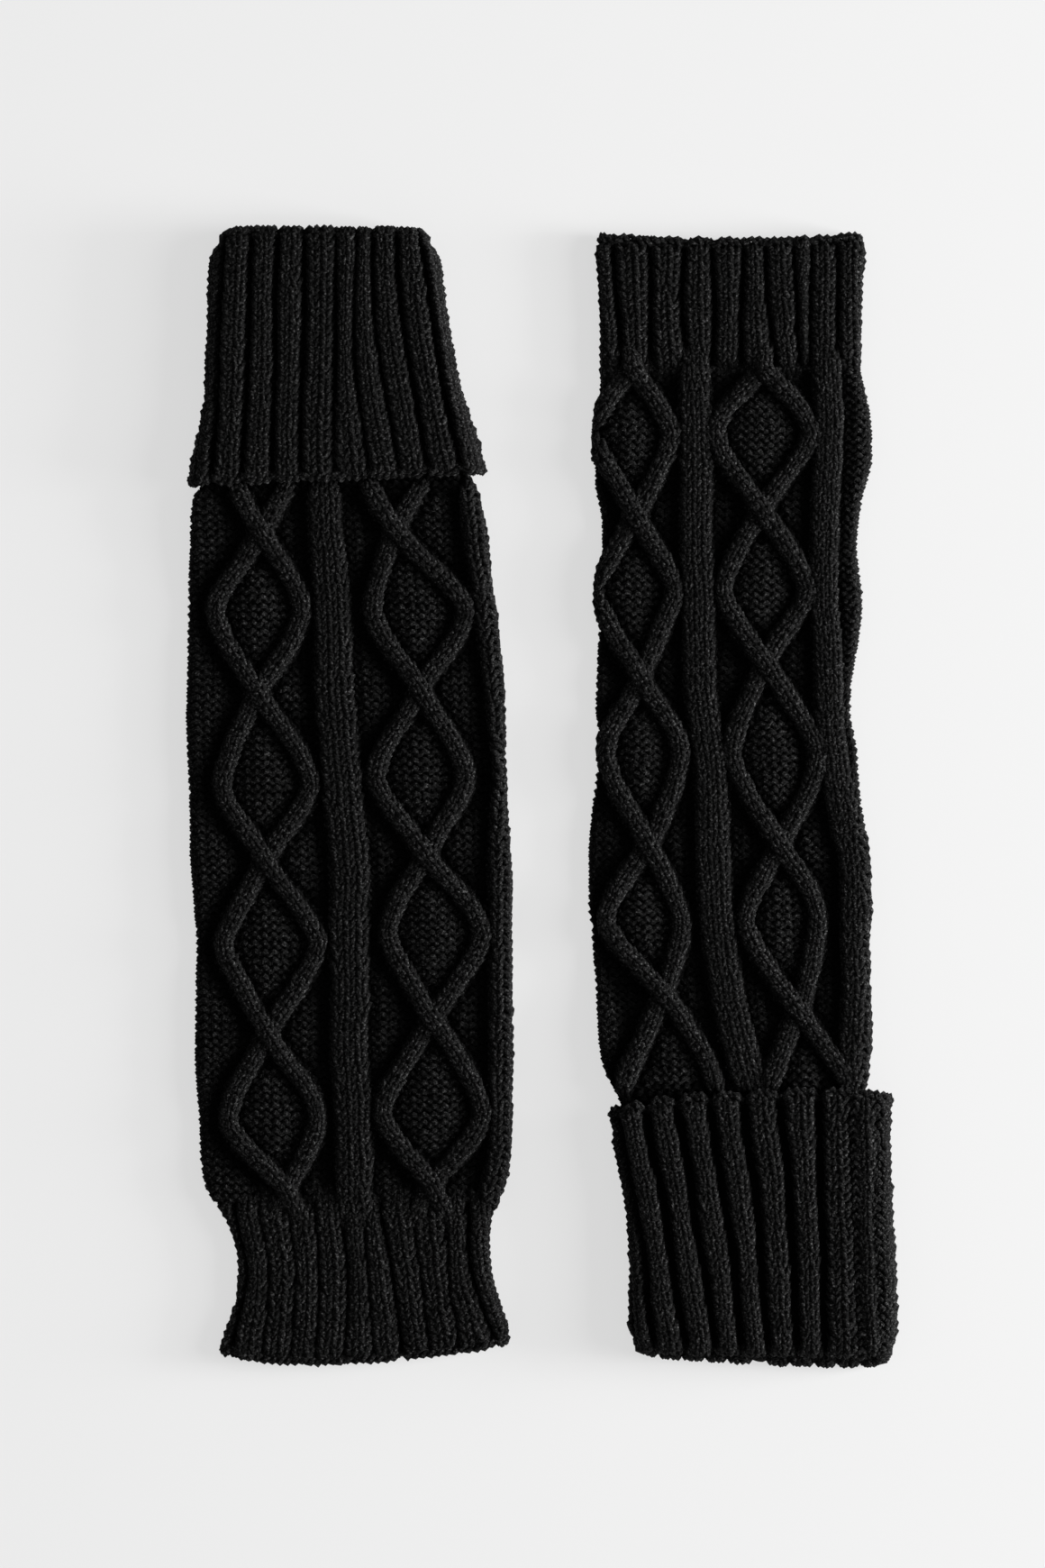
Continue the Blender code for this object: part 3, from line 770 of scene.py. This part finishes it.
def gutterLines(chart, piece, v):
    # Every gutter's s and depth share at each v, and how many were added before the first in the table.
    # The table's gutters show; on the hidden sides they go on at an even pitch. None runs straight or is
    # cut evenly
    levels = np.array(piece["levels"])
    table = np.array(piece["gutters"])
    inside = np.clip(v, *chart["starts"])
    lines = [acrossAt(chart, smoothLine(levels, row[:3], inside) - piece["flank"], inside) for row in table]
    rising = levels[0] < levels[-1]
    order = [3, 4, 5] if rising else [5, 4, 3]
    depths = [np.interp(v, np.sort(levels), row[order]) for row in table]
    middle, half, flat = widthAt(chart, inside)
    whole = 2.0 * flat + pi * chart["radius"]
    added = 0
    for side in (-1, 1):
        edge = lines[0] if side < 0 else lines[-1]
        for step in range(1, 14):
            line = edge + side * step * piece["pitch"]
            if np.all(np.abs(line) > whole):
                break
            lines = [line] + lines if side < 0 else lines + [line]
            added += side < 0
            full = np.ones(len(v))
            depths = [full] + depths if side < 0 else depths + [full]
    seed = piece["seed"]
    lines = [line + rib["wander"] * wobble(v, ringApart * i, rib["wanderLength"], seed + 30)
             for i, line in enumerate(lines)]
    depths = [depth * (1.0 + rib["uneven"] * wobble(v, ringApart * i, rib["unevenLength"], seed + 31))
              for i, depth in enumerate(depths)]
    return np.array(lines), np.array(depths), added


def buildRibs(name, chart, piece):
    # Ribs are two knit stitches wide. Their relief is a level top less a bell for each gutter
    seed = piece["seed"]
    low, high = chart["starts"]
    v = np.arange(low - 30.0, high + 30.0, 1.0)        # far enough for the hems and the runs over a seam
    lines, depths, added = gutterLines(chart, piece, v)
    middle, half, flat = widthAt(chart, np.clip(v, low, high))
    whole = 2.0 * flat + pi * chart["radius"]

    def relief(s, at):
        # the level top less the bells, which are shallower round a hem
        total = np.full(np.broadcast(s, at).shape, rib["top"])
        fade = 1.0 - rib["atHem"] * lipShare(chart, at)
        for line, depth in zip(lines, depths):
            distance = s - np.interp(at, v, line)
            deep = rib["gutter"] * np.interp(at, v, depth) * fade
            total = total - deep * np.exp(-(distance / piece["gutter"]) ** 2)
        middle, half, flat = widthAt(chart, np.clip(at, low, high))
        return pressUnder(chart, s, at, flat, total)

    profile = plainProfile(chart, 6, 2.4, 10) if piece["fold"] < 0 else cuffProfile(chart, piece["fold"] == 1)
    wall = clothWall(name + "_cloth", chart, relief, profile, rib["columns"])

    # the yarn runs straight on over a seam, and round a hem or fold
    seams = [end + rib["seamRun"] * way if joined else start
             for end, start, joined, way in zip(chart["ends"], chart["starts"], piece["seams"], (-1, 1))]
    yarnChart = dict(chart, starts=tuple(seams))
    lowest, highest = low - piece["made"][0], high + piece["made"][1]
    pick = (v >= lowest) & (v <= highest)
    hems = [(v >= lowest) & (v < low + rib["nearHem"]), (v > high - rib["nearHem"]) & (v <= highest)]
    limit = (flat + chart["radius"] * rib["reach"])[pick].max()
    lips = lipShare(chart, v)
    parts = []
    for index in range(len(lines) - 1):
        ribLine = (lines[index] + lines[index + 1]) / 2.0
        groove = rib["grooveHalf"] * (depths[index] + depths[index + 1]) - rib["snug"]
        groove = np.minimum(groove, rib["widestGroove"])
        half = np.maximum((lines[index + 1] - lines[index] - groove) / 2.0, rib["narrowest"])
        half = half + lips * (groove / 2.0 + rib["closing"])      # ribs close up where the cloth turns over
        overrun = rib["overrun"] * (0.55 + 0.45 * np.sin(2.4 * index + seed))     # no two the same
        reach = pick | (piece["seams"][0] & (v < low) & (v > low - overrun))
        reach = reach | (piece["seams"][1] & (v > high) & (v < high + overrun))

        def heightAt(a, s, at, overrun=overrun):
            # a little uneven, and sinking past a seam with the power 1.5 of the way
            ripple = rib["ripple"] * wobble(s, at, rib["rippleLength"], seed + 7)
            total = relief(s, at) + ripple - rib["bedded"]
            for past, joined in zip((low - at, at - high), piece["seams"]):
                if joined:
                    share = np.clip((past + rib["sinkStart"]) / (overrun + rib["sinkStart"]), 0.0, 1.0)
                    total = total - rib["sink"] * share ** 1.5
            return total

        # a rib on the underside is made only near the hems, where it can be seen
        under = np.abs(ribLine[pick]).min() > limit
        for stretch, joined in zip(hems, piece["seams"]) if under else [(reach, False)]:
            if not joined and np.abs(ribLine[stretch]).max() < whole[stretch].min():
                line = (ribLine[stretch], v[stretch])
                parts.append(ribbon(yarnChart, line, half[stretch], 2, piece["course"], rib["radius"],
                                    heightAt, seed + index))

    def bandHeight(a, s, at):
        return relief(s, at) + rib["band"]

    def edgeHeight(a, s, at):
        return relief(s, at) + rib["edge"]

    # purl stitches show where a gutter is stretched open
    for index, width in piece["open"]:
        line = (lines[added + index][pick], v[pick])
        parts.append(ribbon(yarnChart, line, np.full(pick.sum(), width / 2.0), 1, piece["course"],
                            rib["bandRadius"], bandHeight, seed + 60 + index, -1.0))

    # the cast-on edge: a chain of stitches round each open hem, dipping at the gutters
    for kind, way in ((0, -1.0), (1, 1.0)):
        if piece["seams"][kind] or kind == piece["fold"]:
            continue
        at = chart["starts"][kind] + way * chart["mouths"][kind] * rib["edgeTurn"]
        edgeS = np.arange(-whole[0] * 0.995, whole[0] * 0.995, 1.0) * np.interp(at, v, whole) / whole[0]
        places = [(np.interp(at, v, line), np.interp(at, v, depth)) for line, depth in zip(lines, depths)]
        dips = sum(np.exp(-((edgeS - place) / rib["scallopHalf"]) ** 2) * depth for place, depth in places)
        edgeV = at - way * rib["scallop"] * np.minimum(dips, 1.2)      # close gutters don't add up
        parts.append(ribbon(chart, (edgeS, edgeV), np.full(len(edgeS), rib["edgeHalf"]), 1, rib["edgeCourse"],
                            rib["bandRadius"], edgeHeight, seed + 80))
    ribs = yarnTubes(name + "_ribs", yarnChart, joinRows(parts), knitStitch["sides"])
    return wall, [ribs]


def cuffProfile(chart, foldAtTop):
    # Out along the face from the hem, round the fold, along the hidden tube and back between the layers
    low, high = chart["starts"]
    turnLow, turnHigh = chart["mouths"]
    hiddenEnd = 6.5        # how far in from the hem the hidden tube stops, where the leg begins
    face = np.arange(low, high, 2.4)
    if foldAtTop:
        outer = np.concatenate([low + np.linspace(-pi, 0.0, 6)[:-1] * turnLow, face,
                                high + np.linspace(0.0, pi, 9) * turnHigh])
        seam, fold, hem = low + hiddenEnd, high, low
    else:
        outer = np.concatenate([high + np.linspace(pi, 0.0, 6)[:-1] * turnHigh, face[::-1],
                                low - np.linspace(0.0, pi, 9) * turnLow])
        seam, fold, hem = high - hiddenEnd, low, high
    rows = [(at, 0.0, 1.0) for at in outer]
    rows += [(at, cloth["layer"] + cloth["wall"], 0.0) for at in np.linspace(fold, seam, 8)[1:]]
    rows += [(at, cloth["layer"], 0.0) for at in np.linspace(seam, fold, 8)]
    rows += [(at, cloth["wall"], 0.0) for at in np.linspace(fold, hem, 8)[:-1]]
    return rows if foldAtTop else rows[::-1]


def linear(hexColour):
    # sRGB hex to linear light
    value = np.array([int(hexColour[i:i + 2], 16) for i in (1, 3, 5)]) / 255.0
    value = np.where(value <= 0.04045, value / 12.92, ((value + 0.055) / 1.055) ** 2.4)
    return (*value.tolist(), 1.0)


def addNode(tree, kind, settings=None, inputs=None):
    # One node, with its settings, and its sockets given a value or a link
    node = tree.nodes.new(kind)
    for key, value in (settings or {}).items():
        setattr(node, key, value)
    for key, value in (inputs or {}).items():
        if isinstance(value, bpy.types.NodeSocket):
            tree.links.new(value, node.inputs[key])
        else:
            node.inputs[key].default_value = value
    return node


yarnLook = {
    # The fibre colour is for pale tufts: partly the yarn's own grey fibres, partly painted sheen where fibres
    # would catch the light
    # hollow is the colour of painted shade: the yarn and cloth are mixed towards it where little light is
    # painted on
    "dark": "#040404", "mid": "#0b0b0b", "fibreAndSheen": "#505050", "hollow": "#010101",
    "tufts": 1400.0,          # a metre: tufts of fibre 0.7 mm across, as single ones of 0.02 mm wouldn't show
    "patches": 380.0,         # a metre: paler and darker stretches of 2.6 mm, about a stitch
    "roughness": 0.95, "sheen": 0.02, "sheenRoughness": 0.45, "specular": 0.05,
    "fuzz": 0.0004, "stitchDepth": 0.0011,       # bump distances in metres, on yarn and on plain cloth
}
clothStitch = {"wale": 4.8, "course": 3.0, "slant": 0.8}      # the stitches drawn on plain cloth


def stitchPattern(tree, across, along):
    # Knit stitches drawn on plain cloth: columns of Vs, 1 on their legs and 0 between them. lean is how far
    # a point is from its column's middle, 0 to 1. A leg is the size of the sine of pi times its row, which
    # rises with lean, and it fades at its column's sides with 1 less lean to the fourth
    values = {"across": across, "along": along}
    for name, operation, a, b in (
            ("column", "MULTIPLY", "across", 1.0 / clothStitch["wale"]),
            ("column", "FRACT", "column", 0.0),
            ("lean", "SUBTRACT", "column", 0.5),
            ("lean", "ABSOLUTE", "lean", 0.0),
            ("lean", "MULTIPLY", "lean", 2.0),
            ("row", "MULTIPLY", "along", 1.0 / clothStitch["course"]),
            ("rise", "MULTIPLY", "lean", clothStitch["slant"]),
            ("row", "SUBTRACT", "row", "rise"),
            ("leg", "MULTIPLY", "row", pi),
            ("leg", "SINE", "leg", 0.0),
            ("leg", "ABSOLUTE", "leg", 0.0),
            ("side", "POWER", "lean", 4.0),
            ("side", "SUBTRACT", 1.0, "side"),
            ("stitch", "MULTIPLY", "leg", "side")):
        pair = {0: values.get(a, a), 1: values.get(b, b)}
        values[name] = addNode(tree, "ShaderNodeMath", {"operation": operation}, pair).outputs["Value"]
    return values["stitch"]


def yarnMaterial(name, isTube):
    # Brushed acrylic yarn: short matt fibres over a dark twist, so it is black with a dull grey bloom.
    # Light dies between the stitches, and that shade is painted into the colour: a tube is darker on its
    # underside and where it dives
    material = bpy.data.materials.new(name)
    material.use_nodes = True
    tree = material.node_tree
    tree.nodes.clear()
    place = addNode(tree, "ShaderNodeTexCoord").outputs["Object"]
    fibres = addNode(tree, "ShaderNodeTexNoise", None,
                     {"Vector": place, "Scale": yarnLook["tufts"], "Detail": 3.0, "Roughness": 0.65})
    patches = addNode(tree, "ShaderNodeTexNoise", None,
                      {"Vector": place, "Scale": yarnLook["patches"], "Detail": 2.0})
    # the pale tufts, sparse bright specks: partly the fibres' own grey, partly painted sheen
    grain = addNode(tree, "ShaderNodeMapRange", None,
                    {"Value": fibres.outputs["Fac"], "From Min": 0.36, "From Max": 0.7})
    bright = addNode(tree, "ShaderNodeMath", {"operation": "POWER"}, {0: grain.outputs["Result"], 1: 4.0})
    dark, mid, fibreAndSheen, hollow = (linear(yarnLook[key]) for key in ("dark", "mid", "fibreAndSheen", "hollow"))
    tone = addNode(tree, "ShaderNodeMix", {"data_type": "RGBA"},
                   {"Factor": patches.outputs["Fac"], "A": dark, "B": mid})
    colour = addNode(tree, "ShaderNodeMix", {"data_type": "RGBA"},
                     {"Factor": bright.outputs["Value"], "A": tone.outputs["Result"], "B": fibreAndSheen})
    # painted shade: the lift attribute, how much light is painted on, darkens the colour towards the hollow
    # colour
    lift = addNode(tree, "ShaderNodeAttribute", {"attribute_name": "lift"})
    seen = addNode(tree, "ShaderNodeMapRange", None,
                   {"Value": lift.outputs["Fac"], "From Min": 0.05, "From Max": 0.85, "To Min": 0.05})
    thread = addNode(tree, "ShaderNodeUVMap", {"uv_map": "thread"})
    split = addNode(tree, "ShaderNodeSeparateXYZ", None, {"Vector": thread.outputs["UV"]})
    if isTube:
        # y goes once round the yarn from its top, so its cosine is 1 on top and -1 below, and the underside
        # is painted darker as shade
        angle = addNode(tree, "ShaderNodeMath", {"operation": "MULTIPLY"},
                        {0: split.outputs["Y"], 1: 2.0 * pi})
        up = addNode(tree, "ShaderNodeMath", {"operation": "COSINE"}, {0: angle.outputs["Value"]})
        share = addNode(tree, "ShaderNodeMapRange", None,
                        {"Value": up.outputs["Value"], "From Min": -0.6, "From Max": 0.5, "To Min": 0.35})
        share = share.outputs["Result"]
        height = fibres.outputs["Fac"]
    else:
        # the drawn stitches are both a bump and painted shade: the cloth's colour is darker between their
        # legs
        stitches = stitchPattern(tree, split.outputs["X"], split.outputs["Y"])
        share = addNode(tree, "ShaderNodeMapRange", None, {"Value": stitches, "To Min": 0.2})
        share = share.outputs["Result"]
        fuzz = addNode(tree, "ShaderNodeMath", {"operation": "MULTIPLY"}, {0: fibres.outputs["Fac"], 1: 0.4})
        both = addNode(tree, "ShaderNodeMath", {"operation": "ADD"}, {0: stitches, 1: fuzz.outputs["Value"]})
        height = both.outputs["Value"]
    # painted shade: where light and share are low, the colour is mixed towards the hollow colour
    light = addNode(tree, "ShaderNodeMath", {"operation": "MULTIPLY"}, {0: seen.outputs["Result"], 1: share})
    shade = addNode(tree, "ShaderNodeMix", {"data_type": "RGBA"},
                    {"Factor": light.outputs["Value"], "A": hollow, "B": colour.outputs["Result"]})
    depth = yarnLook["fuzz" if isTube else "stitchDepth"]
    bump = addNode(tree, "ShaderNodeBump", None, {"Strength": 0.6, "Distance": depth, "Height": height})
    shader = addNode(tree, "ShaderNodeBsdfPrincipled", None,
                     {"Base Color": shade.outputs["Result"], "Roughness": yarnLook["roughness"],
                      "Sheen Weight": yarnLook["sheen"], "Sheen Roughness": yarnLook["sheenRoughness"],
                      "Specular IOR Level": yarnLook["specular"], "Normal": bump.outputs["Normal"]})
    addNode(tree, "ShaderNodeOutputMaterial", None, {"Surface": shader.outputs["BSDF"]})
    return material


# The studio, in metres and watts: the camera looks straight down, lamps are (name, place, size, power)
stage = {
    "eye": (-0.0070, 0.0048, 2.4), "shows": 0.5568,      # the height that the camera takes in
    "lamps": (("key", (2.8, 0.05, 1.5), 1.5, 96.0), ("rim", (1.9, 0.0, 0.34), 0.6, 92.0)),
    "sky": 0.3, "floor": 3.0, "paper": "#7e7e7e", "glow": 0.63,
}


def floorMaterial():
    # Plain matt paper lit from behind a little, as on a light table, so that shadows on it stay pale
    material = bpy.data.materials.new("matt backdrop paper")
    material.use_nodes = True
    shader = material.node_tree.nodes["Principled BSDF"]
    shader.inputs["Base Color"].default_value = linear(stage["paper"])
    shader.inputs["Roughness"].default_value = 0.95
    shader.inputs["Specular IOR Level"].default_value = 0.0
    shader.inputs["Emission Color"].default_value = (1.0, 1.0, 1.0, 1.0)
    shader.inputs["Emission Strength"].default_value = stage["glow"]
    return material


def studio():
    # A camera straight above, two lamps turned to the middle of the pair, a pale sky and a paper floor
    camera = bpy.data.cameras.new("camera")
    camera.lens = 36.0 * stage["eye"][2] / stage["shows"]      # the sensor is 36 mm
    camera.clip_end = 20.0
    eye = bpy.data.objects.new("camera", camera)
    eye.location = stage["eye"]
    bpy.context.scene.collection.objects.link(eye)
    bpy.context.scene.camera = eye

    for name, at, size, power in stage["lamps"]:
        lamp = bpy.data.lights.new(name, "AREA")
        lamp.shape = "SQUARE"
        lamp.size = size
        lamp.energy = power
        holder = bpy.data.objects.new(name, lamp)
        holder.location = at
        holder.rotation_euler = (0.0, np.arctan2(np.hypot(at[0], at[1]), at[2]), np.arctan2(at[1], at[0]))
        bpy.context.scene.collection.objects.link(holder)

    world = bpy.data.worlds.new("studio")
    world.use_nodes = True
    world.node_tree.nodes["Background"].inputs["Color"].default_value = (1.0, 1.0, 1.0, 1.0)
    world.node_tree.nodes["Background"].inputs["Strength"].default_value = stage["sky"]
    bpy.context.scene.world = world
    bpy.context.scene.view_settings.view_transform = "Standard"

    mesh = bpy.data.meshes.new("backdrop")
    size = stage["floor"]
    corners = [(-size, -size, 0.0), (size, -size, 0.0), (size, size, 0.0), (-size, size, 0.0)]
    mesh.from_pydata(corners, [], [(0, 1, 2, 3)])
    floor = bpy.data.objects.new("backdrop", mesh)
    mesh.materials.append(floorMaterial())
    bpy.context.scene.collection.objects.link(floor)


def finishPiece(node, wall, yarns, materials):
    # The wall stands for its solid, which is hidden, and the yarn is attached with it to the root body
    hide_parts(node)
    for part in [wall] + yarns:
        part.data.materials.append(materials[0 if part is wall else 1])
        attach(part, "root")
    triangles = [len(part.data.loops) - 2 * len(part.data.polygons) for part in [wall] + yarns]
    print(node, "made:", triangles, "triangles")


studio()
print("studio set up")
ribYarn = yarnMaterial("brushed acrylic yarn, rib", True)
cableYarn = yarnMaterial("brushed acrylic yarn, cable", True)
ribCloth = yarnMaterial("brushed acrylic rib cloth", False)
cableCloth = yarnMaterial("brushed acrylic cable cloth", False)
print("yarn and cloth materials made")

for node, piece in (("left_leg", leftLeg), ("right_leg", rightLeg), ("left_end", leftEnd),
                    ("right_end", rightEnd), ("left_cuff", leftCuff), ("right_cuff", rightCuff)):
    isLeg = "chains" in piece
    build = buildLeg if isLeg else buildRibs
    wall, yarns = build(node, makeChart(node, piece), piece)
    finishPiece(node, wall, yarns, (cableCloth, cableYarn) if isLeg else (ribCloth, ribYarn))
